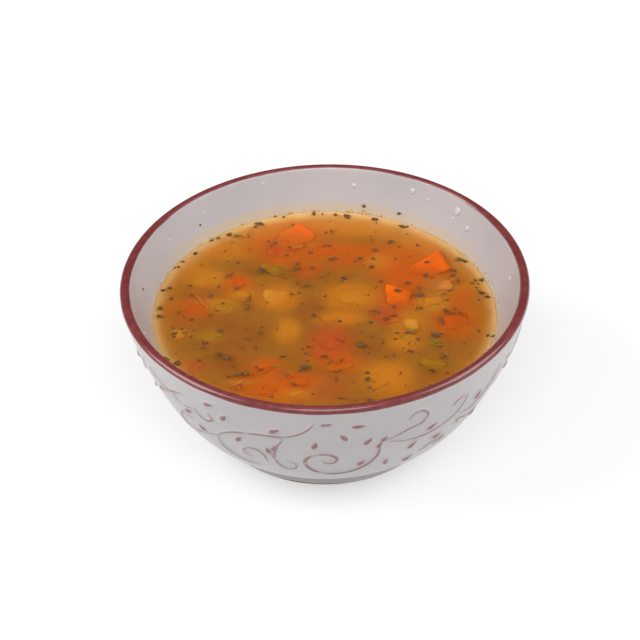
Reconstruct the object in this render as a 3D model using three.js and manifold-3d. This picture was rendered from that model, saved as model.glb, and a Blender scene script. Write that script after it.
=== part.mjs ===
// A round stoneware bowl on a foot ring, filled with vegetable soup.
// Millimetres, +Z up. The origin is on the bowl's axis, in the plane that the foot ring stands on.
// The bowl is one lathed solid and the soup another. The pieces of vegetable whose tops reach the
// surface are solids of their own, and the soup is cut round them.
import * as THREE from "three";
import { mergeVertices } from "three/addons/utils/BufferGeometryUtils.js";
import Module from "manifold-3d";

// Bowl
const RIM_RADIUS = 75;
const BOWL_HEIGHT = 64.3; // to the top of the lip, on the axis of the slant
const LIP_RADIUS = 1.9; // the lip is a half round, so the wall is twice this thick there
const RIM_SLANT = THREE.MathUtils.degToRad(0.9); // the hand-made rim is lower at -X
const FOOT_RADIUS = 43.7;
const FOOT_RING_WIDTH = 5.5;
const FOOT_SIDE = 3.2; // height of the ring's upright side
const FOOT_RECESS = 3.2; // depth of the hollow inside the ring
const FOOT_EDGE = 0.8; // rounding of the ring's outer corner
const BELLY_START = new THREE.Vector2(46.6, 7.6); // where the belly leaves the foot's cove
const BELLY_LOW = new THREE.Vector2(60.9, 13.7); // the two points that pull the belly's curve
const BELLY_HIGH = new THREE.Vector2(71.1, 43.8);

// Inside of the bowl
const WATERLINE_RADIUS = 64.1;
const SOUP_LEVEL = 47.9;
const INNER_LOW = new THREE.Vector2(56.1, 32.9); // the two points that pull the inside's curve
const INNER_FLOOR = new THREE.Vector2(53, 11.3);
const FLOOR_RADIUS = 28; // the floor is flat inside this radius
const FLOOR_HEIGHT = 11.2;

// Soup
const GAP = 0.3; // between solids that touch in the real dish
const MENISCUS_RISE = 0.5;
const MENISCUS_WIDTH = 2;
const PIECE_PROUD = 0.25; // how far the highest corner of a piece stands above the level

// Pieces of vegetable
const CORNER_SHARE = 0.2; // how much of a side its rounded corner takes
const BEVEL_SHARE = 0.08; // size of the softened edges, of the height
const TAPER_SHARE = 0.1; // how much narrower the underside is

// Fineness of the facets
const ROUND_SEGMENTS = 72;
const CURVE_STEPS = 7;

const COLOURS = {
  glaze: { color: 0xc9c1c2, roughness: 0.15 },
  broth: { color: 0xa8621f, roughness: 0.1 },
  carrot: { color: 0xe3641c, roughness: 0.45 },
  potato: { color: 0xd9a441, roughness: 0.5 },
  tomato: { color: 0xc9402a, roughness: 0.4 },
  pod: { color: 0x8d8a2c, roughness: 0.5 },
  onion: { color: 0xdcb27a, roughness: 0.4 },
};

const wasm = await Module();
wasm.setup();

function material(finish) {
  return new THREE.MeshStandardMaterial({ ...COLOURS[finish], metalness: 0 });
}

function namedMesh(name, geometry, finish) {
  const mesh = new THREE.Mesh(geometry, material(finish));
  mesh.name = name;
  return mesh;
}

// Turns an outline of (radius, height) points round the Z axis.
function turned(outline) {
  return new THREE.LatheGeometry(outline, ROUND_SEGMENTS).rotateX(Math.PI / 2);
}

// Raises the rim at +X and lowers it at -X. The wall under the waterline stays as it is.
function slantRim(geometry) {
  const points = geometry.getAttribute("position");
  for (let i = 0; i < points.count; i++) {
    const aboveSoup = Math.max(0, points.getZ(i) - SOUP_LEVEL) / (BOWL_HEIGHT - SOUP_LEVEL);
    points.setZ(i, points.getZ(i) + Math.tan(RIM_SLANT) * points.getX(i) * aboveSoup ** 2);
  }
  return geometry;
}

// The wall inside the bowl under the waterline, from the waterline down to the flat floor.
function innerCurve() {
  return new THREE.CubicBezierCurve(
    new THREE.Vector2(WATERLINE_RADIUS, SOUP_LEVEL),
    INNER_LOW,
    INNER_FLOOR,
    new THREE.Vector2(FLOOR_RADIUS, FLOOR_HEIGHT),
  );
}

function bowlOutline() {
  const lipHeight = BOWL_HEIGHT - LIP_RADIUS;
  const outerLean = Math.atan2(RIM_RADIUS - BELLY_HIGH.x, lipHeight - BELLY_HIGH.y);
  const innerLean = Math.atan2(WATERLINE_RADIUS - INNER_LOW.x, SOUP_LEVEL - INNER_LOW.y);
  const ringInside = FOOT_RADIUS - FOOT_RING_WIDTH;
  const path = new THREE.Path();
  path.moveTo(0, FOOT_RECESS);
  path.lineTo(ringInside - FOOT_RECESS / 2, FOOT_RECESS);
  path.lineTo(ringInside, 0);
  path.lineTo(FOOT_RADIUS - FOOT_EDGE, 0);
  path.lineTo(FOOT_RADIUS, FOOT_EDGE);
  path.lineTo(FOOT_RADIUS, FOOT_SIDE);
  path.quadraticCurveTo(FOOT_RADIUS, BELLY_START.y - FOOT_EDGE, BELLY_START.x, BELLY_START.y);
  path.bezierCurveTo(...BELLY_LOW, ...BELLY_HIGH, RIM_RADIUS, lipHeight);
  path.absarc(RIM_RADIUS - LIP_RADIUS, lipHeight, LIP_RADIUS, -outerLean, Math.PI - innerLean, false);
  path.lineTo(WATERLINE_RADIUS, SOUP_LEVEL);
  path.bezierCurveTo(...INNER_LOW, ...INNER_FLOOR, FLOOR_RADIUS, FLOOR_HEIGHT);
  path.lineTo(0, FLOOR_HEIGHT);
  return path.getPoints(CURVE_STEPS);
}

// The soup's outline keeps the gap to the wall and curls up to it in a small meniscus.
function soupOutline() {
  const wall = innerCurve();
  const outline = [new THREE.Vector2(0, FLOOR_HEIGHT + GAP)];
  for (let step = CURVE_STEPS; step >= 0; step--) {
    const along = step / CURVE_STEPS;
    const down = wall.getTangent(along);
    outline.push(wall.getPoint(along).add(new THREE.Vector2(down.y, -down.x).multiplyScalar(GAP)));
  }
  const edge = outline.at(-1);
  const lean = wall.getTangent(0);
  const top = edge.clone().addScaledVector(lean, MENISCUS_RISE / lean.y);
  const flat = new THREE.Vector2(edge.x - MENISCUS_WIDTH, SOUP_LEVEL);
  const middle = new THREE.Vector2(edge.x - MENISCUS_WIDTH / 3, SOUP_LEVEL + MENISCUS_RISE / 5);
  outline.push(top, middle, flat, new THREE.Vector2(0, SOUP_LEVEL));
  return outline;
}

// The middle of an outline's box.
function middleOf(corners) {
  const points = corners.map((corner) => new THREE.Vector2(...corner));
  return new THREE.Box2().setFromPoints(points).getCenter(new THREE.Vector2());
}

// The outline through the corners, anticlockwise, with each corner rounded.
function softOutline(corners) {
  const points = corners.map((corner) => new THREE.Vector2(...corner));
  const shape = new THREE.Shape();
  points.forEach((corner, i) => {
    const start = corner.clone().lerp(points.at(i - 1), CORNER_SHARE);
    const end = corner.clone().lerp(points[(i + 1) % points.length], CORNER_SHARE);
    if (i === 0) shape.moveTo(...start);
    else shape.lineTo(...start);
    shape.quadraticCurveTo(...corner, ...end);
  });
  return shape;
}

// A cut piece of vegetable round its own middle, every face moved out by the growth. Its faces
// have soft edges, and it narrows a little towards its underside.
function cutPiece({ corners, height }, growth) {
  const bevel = height * BEVEL_SHARE;
  const depth = height + 2 * (growth - bevel);
  const geometry = new THREE.ExtrudeGeometry(softOutline(corners), {
    depth,
    curveSegments: 2,
    bevelSize: bevel,
    bevelOffset: growth - bevel,
    bevelThickness: bevel,
    bevelSegments: 1,
  });
  const middle = middleOf(corners);
  geometry.translate(-middle.x, -middle.y, -depth / 2);
  const vertices = geometry.getAttribute("position");
  for (let i = 0; i < vertices.count; i++) {
    const share = 1 - TAPER_SHARE * (0.5 - vertices.getZ(i) / height);
    vertices.setXY(i, vertices.getX(i) * share, vertices.getY(i) * share);
  }
  return geometry;
}

// A short length of a round pod, lying on its side.
function podSlice({ length, radius, turn }, growth) {
  const geometry = new THREE.CapsuleGeometry(radius + growth, length - 2 * radius, 3, 10);
  return geometry.rotateZ(Math.PI / 2 + THREE.MathUtils.degToRad(turn));
}

// The pieces that reach the surface. Corners are in the bowl's own plan, anticlockwise from above.
// A piece leans by its angles in degrees about X and then about Y.
const CUT_PIECES = [
  {
    name: "carrot_wedge_right",
    finish: "carrot",
    corners: [[24, 21.5], [37, 19.5], [49, 26], [45, 39]],
    height: 8,
    lean: [5, -3],
  },
  {
    name: "carrot_wedge_back",
    finish: "carrot",
    corners: [[-29, 41], [-6, 42], [-2.5, 50], [-10, 58]],
    height: 7,
    lean: [4, 3],
  },
  {
    name: "carrot_dice_middle",
    finish: "carrot",
    corners: [[23, 5.5], [30.5, 0.5], [33.5, 13], [22.5, 17.5]],
    height: 10,
    lean: [6, 3],
  },
  {
    name: "potato_dice_left",
    finish: "potato",
    corners: [[-23.5, 2], [-12, 2.5], [-12.5, 14], [-24, 14.7]],
    height: 11,
    lean: [7, -3],
  },
  {
    name: "potato_dice_right",
    finish: "potato",
    corners: [[28, -13.5], [37, -12.5], [36.5, -2], [26.5, -2.5]],
    height: 10,
    lean: [-5, 4],
  },
  {
    name: "onion_piece",
    finish: "onion",
    corners: [[40, 11.5], [49, 12.5], [48.5, 19.5], [39.5, 17.5]],
    height: 4,
    lean: [4, -4],
  },
  {
    name: "tomato_piece",
    finish: "tomato",
    corners: [[-4, -18], [1, -25], [8.5, -18.5], [2.5, -10]],
    height: 7,
    lean: [5, 6],
  },
];
const POD_SLICE = {
  name: "pod_slice",
  finish: "pod",
  length: 16,
  radius: 4,
  middle: [-19, 26],
  turn: -28,
  lean: [0, 5],
};

// Each piece's name and finish, the place of its middle in the bowl's plan, and its shape there.
const PIECES = [
  ...CUT_PIECES.map((piece) => ({
    ...piece,
    at: [...middleOf(piece.corners)],
    shape: (growth) => cutPiece(piece, growth),
  })),
  { ...POD_SLICE, at: POD_SLICE.middle, shape: (growth) => podSlice(POD_SLICE, growth) },
];

// The piece's shape, grown by the given amount all round and then leant.
function leant(piece, growth) {
  const [leanX, leanY] = piece.lean.map(THREE.MathUtils.degToRad);
  return piece.shape(growth).rotateX(leanX).rotateY(leanY);
}

// The height of the piece's middle that brings its highest corner just above the soup.
function floatHeight(piece) {
  const geometry = leant(piece, 0);
  geometry.computeBoundingBox();
  return SOUP_LEVEL + PIECE_PROUD - geometry.boundingBox.max.z;
}

function asSolid(geometry) {
  const bare = geometry.clone();
  bare.deleteAttribute("normal");
  bare.deleteAttribute("uv");
  const merged = mergeVertices(bare, 1e-3);
  return new wasm.Manifold(
    new wasm.Mesh({
      numProp: 3,
      vertProperties: new Float32Array(merged.getAttribute("position").array),
      triVerts: new Uint32Array(merged.index.array),
    }),
  );
}

function asGeometry(solid) {
  const mesh = solid.getMesh();
  const geometry = new THREE.BufferGeometry();
  geometry.setAttribute("position", new THREE.BufferAttribute(mesh.vertProperties, 3));
  geometry.setIndex(new THREE.BufferAttribute(mesh.triVerts, 1));
  geometry.computeVertexNormals();
  return geometry;
}

function soupGeometry() {
  let soup = asSolid(turned(soupOutline()));
  for (const piece of PIECES) {
    const cut = leant(piece, GAP).translate(...piece.at, floatHeight(piece));
    soup = soup.subtract(asSolid(cut));
  }
  return asGeometry(soup);
}

const filledBowl = new THREE.Group();
filledBowl.add(namedMesh("bowl", slantRim(turned(bowlOutline())), "glaze"));
filledBowl.add(namedMesh("soup", soupGeometry(), "broth"));
for (const piece of PIECES) {
  const mesh = namedMesh(piece.name, leant(piece, 0), piece.finish);
  mesh.position.set(...piece.at, floatHeight(piece));
  filledBowl.add(mesh);
}

export default filledBowl;
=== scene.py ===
"""A stoneware bowl of vegetable soup: its glaze and scroll relief, the broth and all that floats in it.

The script's own lengths are millimetres, and the meshes are in metres. An angle round the bowl is in
degrees from the front (-Y), growing towards +X. A depth is measured down from the soup's surface.
"""
import math
import random

import bmesh
import bpy
import numpy as np
from mathutils import Euler, Matrix, Vector, kdtree, noise


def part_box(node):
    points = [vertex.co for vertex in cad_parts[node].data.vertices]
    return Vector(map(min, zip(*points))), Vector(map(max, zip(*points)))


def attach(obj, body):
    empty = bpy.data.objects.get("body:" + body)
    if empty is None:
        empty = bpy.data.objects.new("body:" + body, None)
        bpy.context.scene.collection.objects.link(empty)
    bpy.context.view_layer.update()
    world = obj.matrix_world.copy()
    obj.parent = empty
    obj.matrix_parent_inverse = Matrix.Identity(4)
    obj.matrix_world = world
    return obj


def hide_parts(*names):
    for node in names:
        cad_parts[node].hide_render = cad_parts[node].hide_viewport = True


MM = 0.001

# Camera: it stands in front of the bowl and looks down on it.
CAMERA_PLACE = (0.0, -518.66, 454.19)
CAMERA_AIM = (-1.77, 0.0, 43.4)
CAMERA_ROLL = math.radians(0.45)
CAMERA_LENS = 99.61
SENSOR_WIDTH = 36.0

# Bowl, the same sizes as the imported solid
RIM_RADIUS = 75.0
BOWL_HEIGHT = 64.3
LIP_RADIUS = 1.9
RIM_SLANT = math.tan(math.radians(0.9))
FOOT_RADIUS = 43.7
FOOT_RING_WIDTH = 5.5
FOOT_SIDE = 3.2
FOOT_RECESS = 3.2
FOOT_EDGE = 0.8
BELLY_START = (46.6, 7.6)
BELLY_LOW = (60.9, 13.7)
BELLY_HIGH = (71.1, 43.8)
WATERLINE_RADIUS = 64.1
SOUP_LEVEL = 47.9
INNER_LOW = (56.1, 32.9)
INNER_FLOOR = (53.0, 11.3)
FLOOR_RADIUS = 28.0
FLOOR_HEIGHT = 11.2

WALL_HOLLOW = 0.4  # how far the wall above the soup curves outwards

# Fineness of the turned meshes
FINE_COLUMNS = 720
PLAIN_COLUMNS = FINE_COLUMNS // 4
BELLY_ROWS = 104
LIP_ROWS = 26
INNER_ROWS = 34
BELOW_ROWS = 16

# Scroll relief
RIDGE_HALF_WIDTH = 1.7
RIDGE_HEIGHT = 0.75
STROKE_STEP = 0.35
MOTIF_REPEAT = 120  # degrees: the scroll is repeated three times round the bowl
VINE_SIZE = 0.82  # of the ridge's width and height
SPIRAL_SIZE = 1.0
LEAF_SIZE = 1.15
SPIRAL_SHRINK = 0.66  # in each quarter turn

# Finish of the bowl
LIP_PAINT_OUTSIDE = 2.75  # how far the maroon goes down from the lip's top, along the surface
LIP_PAINT_INSIDE = 1.6
LIP_PAINT_UNEVEN = 0.35  # the painted band lies further out at the front and back, further in at the sides
LIP_PAINT_FRAY = 0.6
FILM_EDGE = (4.7, 2.3)  # heights above the soup where the film of fat on the wall begins and is whole
FILM_FRAY = 3.0
FILM_BACK = (15, 45)  # Y over which the film grows from the sides to the back
FILM_STRENGTH = (0.15, 0.75)
CLAY_AND_SHADE_EDGE = (0.9, 0.5)  # the foot is bare clay below this, painted dark so that it also stands for the shade along the foot's lower edge
CLAY_AND_SHADE_FRAY = 2.4
GLAZE_ROUGHNESS = 0.3
LIP_ROUGHNESS = 0.17
CLAY_ROUGHNESS = 0.75

# Broth
WATER_IOR = 1.333
BROTH_TINT = (1.0, 0.94, 0.72, 1)
BROTH_SHINE = (1, 0.6, 0.3, 1)
BROTH_SHADOW = (1.0, 0.95, 0.85, 1)
BROTH_ROUGHNESS = 0.22
BROTH_SHADE = (0.52, 0.565, 0.68)  # allows for the strong light from above and the red light within
MENISCUS_RISE = 0.2
MENISCUS_REACH = 0.8
# The skin's rings of points, by their distance from its edge
SKIN_RINGS = (0, 0.2, 0.4, 0.65, 0.9, 1.2, 1.6, 2.1, 2.8, 4, 6, 9, 13, 18, 24, 31, 39, 48, 57)
INTO_WALL = 0.4  # the clear broth reaches this far into the wall, and the core half as far
SIGHT_SHIFT = 0.69  # a sunk thing that is seen at a place lies this far behind it for each mm of depth

# Cloudy core
CORE_DEPTH = 1.9
CORE_CLIMB = 1.75  # up the wall
CLIMB_REACH = 2.4
CORE_SWELL = 0.6
CORE_RINGS = 64
PIECE_SHOWS = 0.6  # how far a sunk piece stands out of it
SCATTER_REACH = 5.0  # nearer to the wall than this, less light spreads in it
PATCH_STRENGTH = 0.8
EDGE_STRENGTH = 0.8
EDGE_REACH = 6.5  # along the wall the broth is golden, and painted lighter there as painted light against the wall's shade, and over the last of it the pale wall shows
PALE_REACH = 2.0
BACK_WIDENS = 0.6  # at the back, where the wall slopes towards the camera, both are wider by this share
BLED_SHARE = 0.62  # how far a piece lends its colour to the broth, as a share of its length

# Vegetables
FADE = (0.1, 1.65)  # from the first to the last of these depths a piece fades away
SUNK_FADE = (0.6, 1.35, 0.5)  # a sunk piece shows half of its colour at the most
CUT_UNEVEN = 0.5
POD_SIZE = (16.0, 8.0, 7.0)
POD_LEAN = 5
POD_TURN = -28
POD_DEPTH = 1.0
POD_UNEVEN = 0.3
POD_DROOP = 1.5
SEED_BULGE = 0.05  # of the pod's width
SUNK_SWELL = 1.35  # a sunk piece is larger than it looks by this
SUNK_DROOP = 1.25
SUNK_UNEVEN = 0.7
SUNK_SIDES = (0.75, 1.1)  # its corners are drawn in and out by chance
SUNK_LEAN = 9

# Herbs
SCATTERED_HERBS = 190
SCATTER_RADIUS = 61.5
SCATTERED_LENGTHS = (0.8, 1.0, 1.2, 1.5, 1.9, 2.3)
SCATTERED_WIDTHS = (0.35, 0.85)  # of the length
SCATTERED_DEPTHS = (0.3, 1.8)
SOFT_DEPTHS = (0.35, 0.9)
FLECK_CORNERS = (6, 9)
FLECK_TEAR = (0.5, 1.25)  # how far its corners reach
FLECK_CURL = 0.12
FLECK_THICKNESS = 0.3
FLECK_BREADTH = 1.15
FLECK_TILT = 12
SOFT_TILT = 14
SCATTERED_TILT = 25
FLECK_SINK = 0.1  # under the skin, except near the wall
FLOATING_RADIUS = 57
LOBED_LENGTH = 3.2  # a longer fleck has a second lobe
LOBE = (0.45, 0.5, 0.4)  # length, width and distance, as shares of the fleck's

# Drops
DROP_FOOT = 0.15  # how far a drop reaches into the wall, of its radius
WATER_FLATNESS = 0.38
WATER_RUN = 1.25  # water drops are longer down the wall
FAT_DROPS = 70
FAT_FLATNESS = 0.45
FAT_RADII = (0.15, 0.2, 0.25, 0.32, 0.42)
FAT_STREAKS = (1.0, 1.2, 1.6, 2.6)
FAT_LOWEST = 0.3  # above the soup
FAT_SPREAD = 1.6

# Stage
FLOOR_HALF_SIDE = 3000
FLOOR_TONES = (0.39, 0.41)
FLOOR_GLOW = 0.48
WORLD_FRONT = 0.5
WORLD_BACK = 0.06
SUN_STRENGTH = 1.45
SUN_HEIGHT = math.radians(55)  # above the horizon, on the camera's side
SUN_SPREAD = math.radians(36)
# Soft boxes: name, place, aim, width, height, watts
BOXES = (
    ("left_box", (-600, -60, 560), (0, 0, 50), 500, 500, 5.0),
    ("right_box", (600, -60, 560), (0, 0, 50), 500, 500, 3.9),
    ("left_strip", (-790, -200, 105), (0, 0, 60), 480, 80, 0.16),
    ("right_strip", (770, -250, 105), (0, 0, 60), 400, 80, 0.2),
)

SEED = 41


# ---- colours

def linear(red, green, blue):
    """A colour given in 0-255 display values, as linear light with alpha."""
    values = [channel / 255 for channel in (red, green, blue)]
    return tuple(v / 12.92 if v <= 0.04045 else ((v + 0.055) / 1.055) ** 2.4 for v in values) + (1.0,)


WHITE = (1, 1, 1, 1)
GLAZE = linear(170, 164, 164)
GLAZE_COOL = linear(164, 160, 162)
MAROON = linear(112, 50, 50)
MAROON_DARK = linear(98, 40, 41)
WORN_MAROON = linear(128, 88, 88)
# Bare clay, painted dark so that it is also painted shade along the foot's lower edge
CLAY_AND_SHADE = linear(96, 66, 50)
STAIN = linear(178, 160, 134)


def in_broth(red, green, blue):
    """A colour as it is seen in the lit soup, made darker to allow for the light on it."""
    return tuple(a * b for a, b in zip(linear(red, green, blue), BROTH_SHADE)) + (1.0,)


MURK = in_broth(156, 98, 36)
GOLDEN = in_broth(200, 120, 26)
YELLOW = in_broth(196, 136, 50)
ORANGE = in_broth(198, 92, 26)
RUST = in_broth(176, 90, 36)
ROSY = in_broth(178, 80, 42)
OLIVE = in_broth(158, 102, 32)
BROWN = in_broth(152, 88, 34)
# The golden broth along the wall, painted lighter as painted light against the shade that the wall casts
# there
EDGE_GOLD_AND_LIGHT = in_broth(222, 146, 50)
PALE = linear(172, 148, 115)


# ---- node helpers

def put(tree, socket, value):
    """Links the socket from another one, or sets it to a value."""
    if isinstance(value, bpy.types.NodeSocket):
        tree.links.new(value, socket)
    else:
        socket.default_value = value


def add(tree, kind, inputs=None, **settings):
    """A new node with its settings and its inputs."""
    node = tree.nodes.new(kind)
    for key, value in settings.items():
        setattr(node, key, value)
    for key, value in (inputs or {}).items():
        put(tree, node.inputs[key], value)
    return node


def maths(tree, operation, a, b):
    return add(tree, "ShaderNodeMath", {0: a, 1: b}, operation=operation).outputs[0]


def times(tree, a, b):
    return maths(tree, "MULTIPLY", a, b)


def ramp(tree, value, low, high, to_low=0.0, to_high=1.0):
    """The value's way from low to high as a smooth, clamped step."""
    inputs = {"Value": value, "From Min": low, "From Max": high, "To Min": to_low, "To Max": to_high}
    return add(tree, "ShaderNodeMapRange", inputs, interpolation_type="SMOOTHSTEP").outputs[0]


def mix(tree, factor, a, b):
    """The colour a, turned into b by the factor."""
    return add(tree, "ShaderNodeMix", {0: factor, 6: a, 7: b}, data_type="RGBA").outputs[2]


def place(tree):
    """The point on the object, in metres."""
    return add(tree, "ShaderNodeTexCoord").outputs["Object"]


def coordinate(tree, axis):
    return add(tree, "ShaderNodeSeparateXYZ", {0: place(tree)}).outputs[axis]


def spots(tree, size_mm, detail=2.0, distortion=0.0):
    """Noise whose patches are about the given size."""
    inputs = {"Vector": place(tree), "Scale": 1 / (size_mm * MM), "Detail": detail, "Distortion": distortion}
    return add(tree, "ShaderNodeTexNoise", inputs).outputs["Fac"]


def frayed(tree, value, amount, size_mm, detail=2.0):
    """The value moved up and down by noise, by half of the amount each way."""
    centred = maths(tree, "SUBTRACT", spots(tree, size_mm, detail), 0.5)
    return maths(tree, "ADD", value, times(tree, centred, amount))


def attribute(tree, name, output="Fac"):
    return add(tree, "ShaderNodeAttribute", attribute_name=name).outputs[output]


def bump(tree, value, depth_mm, strength):
    inputs = {"Height": value, "Distance": depth_mm * MM, "Strength": strength}
    return add(tree, "ShaderNodeBump", inputs).outputs[0]


def hidden_by(tree, first_mm, last_mm, least=0.0):
    """How much of a thing the cloudy broth over it hides: the least at the first depth, all at the last."""
    depth = maths(tree, "SUBTRACT", SOUP_LEVEL * MM, coordinate(tree, "Z"))
    return ramp(tree, depth, first_mm * MM, last_mm * MM, least, 1.0)


def new_material(name):
    """A material with its tree cleared down to a Principled shader and the output."""
    material = bpy.data.materials.new(name)
    material.use_nodes = True
    tree = material.node_tree
    tree.nodes.clear()
    shader = add(tree, "ShaderNodeBsdfPrincipled")
    add(tree, "ShaderNodeOutputMaterial", {"Surface": shader.outputs[0]})
    return material, tree, shader


def connect(tree, shader, **sockets):
    """Sets or links sockets of the shader; an underscore in a name stands for a space."""
    for key, value in sockets.items():
        put(tree, shader.inputs[key.replace("_", " ")], value)


def scatter(tree, shader, weight, reach_mm, blue=0.12):
    """Light that spreads under the surface, its red the furthest."""
    radius = (1.0, 0.45, blue)
    connect(tree, shader, Subsurface_Weight=weight, Subsurface_Radius=radius, Subsurface_Scale=reach_mm * MM)


# ---- outlines

def curve(points, steps):
    """Points along a Bezier curve of any degree, without its last one."""
    along = np.linspace(0, 1, steps, endpoint=False)[:, None]
    layer = [np.array(point, float) for point in points]
    while len(layer) > 1:
        layer = [a + (b - a) * along for a, b in zip(layer, layer[1:])]
    return layer[0]


def inner_curve(steps):
    """The inside of the wall from the waterline down to the floor."""
    points = [(WATERLINE_RADIUS, SOUP_LEVEL), INNER_LOW, INNER_FLOOR, (FLOOR_RADIUS, FLOOR_HEIGHT)]
    return curve(points, steps)


def bowl_rows():
    """The bowl's outline from the middle of its underside round to the middle of its floor.

    Each row is radius, height, columns. The scroll's rows are the fine ones.
    """
    lip_middle = (RIM_RADIUS - LIP_RADIUS, BOWL_HEIGHT - LIP_RADIUS)
    outer_lean = math.atan2(RIM_RADIUS - BELLY_HIGH[0], lip_middle[1] - BELLY_HIGH[1])
    inner_lean = math.atan2(WATERLINE_RADIUS - INNER_LOW[0], SOUP_LEVEL - INNER_LOW[1])
    ring_inside = FOOT_RADIUS - FOOT_RING_WIDTH
    ring_outside = FOOT_RADIUS - FOOT_EDGE
    half = FOOT_EDGE / 2
    underside = np.array([(0, FOOT_RECESS), (18, FOOT_RECESS), (ring_inside - 2, FOOT_RECESS)])
    recess = curve([(ring_inside - 2, FOOT_RECESS), (ring_inside - 0.6, FOOT_RECESS), (ring_inside, 0)], 8)
    sole = np.array([(ring_inside, 0), (ring_outside - half, 0)])
    edge = curve([(ring_outside - half, 0), (FOOT_RADIUS, 0), (FOOT_RADIUS, FOOT_EDGE + half)], 6)
    side = np.array([(FOOT_RADIUS, FOOT_EDGE + half)])
    cove = curve([(FOOT_RADIUS, FOOT_SIDE), (FOOT_RADIUS, BELLY_START[1] - FOOT_EDGE), BELLY_START], 8)
    belly = curve([BELLY_START, BELLY_LOW, BELLY_HIGH, (RIM_RADIUS, lip_middle[1])], BELLY_ROWS)
    turn = np.linspace(-outer_lean, math.pi - inner_lean, LIP_ROWS)
    lip = np.column_stack([np.cos(turn), np.sin(turn)]) * LIP_RADIUS + lip_middle
    middle = (lip[-1] + (WATERLINE_RADIUS, SOUP_LEVEL)) / 2 + (WALL_HOLLOW, -WALL_HOLLOW / 2)
    above_soup = curve([lip[-1], middle, (WATERLINE_RADIUS, SOUP_LEVEL)], 16)[1:]
    below_soup = inner_curve(INNER_ROWS)
    floor = np.array([(FLOOR_RADIUS, FLOOR_HEIGHT), (14, FLOOR_HEIGHT), (0, FLOOR_HEIGHT)])
    rows = []
    for points in (underside, recess, sole, edge, side, cove, belly, lip, above_soup, below_soup, floor):
        columns = FINE_COLUMNS if points is belly else PLAIN_COLUMNS
        rows.extend((radius, level, columns) for radius, level in points)
    fine = [i for i, row in enumerate(rows) if row[2] == FINE_COLUMNS]
    for i in (fine[0], fine[-1]):
        rows[i] = (rows[i][0], rows[i][1], FINE_COLUMNS // 2)
    return rows


OUTLINE = bowl_rows()
OUTLINE_POINTS = np.array([row[:2] for row in OUTLINE], float)
LIP_TOP = int(OUTLINE_POINTS[:, 1].argmax())
ALONG = np.concatenate([[0], np.cumsum(np.hypot(*np.diff(OUTLINE_POINTS, axis=0).T))])


def outer_radius(level):
    outside = OUTLINE_POINTS[: LIP_TOP + 1]
    start = int(np.argmax(outside[:, 0] >= FOOT_RADIUS))
    return np.interp(level, outside[start:, 1], outside[start:, 0])


def inner_radius(level):
    inside = OUTLINE_POINTS[LIP_TOP:][::-1]
    return np.interp(level, inside[:, 1], inside[:, 0])


def ring(columns):
    """The unit directions of a row's columns, from the front anticlockwise."""
    angles = np.linspace(0, 2 * math.pi, columns, endpoint=False)
    return np.column_stack([np.sin(angles), -np.cos(angles)])


def even(outline, columns=PLAIN_COLUMNS):
    """The rows of an outline of (radius, height) points, all with as many columns."""
    return [(radius, level, columns) for radius, level in outline]


def turned(rows):
    """The points and faces of an outline turned round Z. A row of radius 0 is one point."""
    points, starts, counts, faces = [], [], [], []
    total = 0
    for radius, level, columns in rows:
        around = ring(columns) if radius > 0 else np.zeros((1, 2))
        starts.append(total)
        counts.append(len(around))
        total += len(around)
        points.append(np.column_stack([around * radius, np.full(len(around), level)]))
    for (a, b), (n, m) in zip(zip(starts, starts[1:]), zip(counts, counts[1:])):
        few = min(n, m) if min(n, m) > 1 else max(n, m)
        for i in range(few):
            j = (i + 1) % few
            if n == m:
                faces.append((a + i, a + j, b + j, b + i))
            elif n == 1:
                faces.append((a, b + j, b + i))
            elif m == 1:
                faces.append((a + i, a + j, b))
            elif n > m:
                faces.append((a + 2 * i, a + 2 * i + 1, a + (2 * i + 2) % n, b + j, b + i))
            else:
                faces.append((a + i, a + j, b + (2 * i + 2) % m, b + 2 * i + 1, b + 2 * i))
    return np.vstack(points), faces, np.repeat(np.arange(len(rows)), counts)


# ---- mesh helpers

def new_object(name, data):
    """An object in the scene for a mesh, a light or a camera."""
    item = bpy.data.objects.new(name, data)
    bpy.context.scene.collection.objects.link(item)
    return item


def to_object(name, points, faces, material, smooth=True):
    """A new object from points in millimetres."""
    mesh = bpy.data.meshes.new(name)
    mesh.from_pydata((np.asarray(points) * MM).tolist(), [], faces)
    mesh.validate()
    if smooth:
        mesh.shade_smooth()
    mesh.materials.append(material)
    return new_object(name, mesh)


def give(piece, name, values):
    """Stores a number, or a colour, on each point of the piece."""
    values = np.asarray(values, float)
    kind, key = ("FLOAT", "value") if values.ndim == 1 else ("FLOAT_COLOR", "color")
    layer = piece.data.attributes.new(name, kind, "POINT")
    layer.data.foreach_set(key, values.ravel())


def joined(parts):
    """Several (points, faces) shapes as one."""
    points, faces, total = [], [], 0
    for part_points, part_faces in parts:
        points.append(np.asarray(part_points))
        faces.extend(tuple(index + total for index in face) for face in part_faces)
        total += len(part_points)
    return np.vstack(points), faces


def wobble(points, size_mm, amount_mm, offset):
    """Moves the points by smooth noise."""
    shift = Vector((offset, offset * 0.7, -offset))
    moved = [noise.noise_vector(Vector(point) / size_mm + shift) for point in points]
    return points + np.array([tuple(vector) for vector in moved]) * amount_mm


def settle(piece, slot, *nodes):
    """The piece rides on the bowl's body and stands for the named nodes, which it hides. The slot is not
    used.
    """
    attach(piece, "root")
    if nodes:
        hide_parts(*nodes)


# ---- scroll relief

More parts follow.
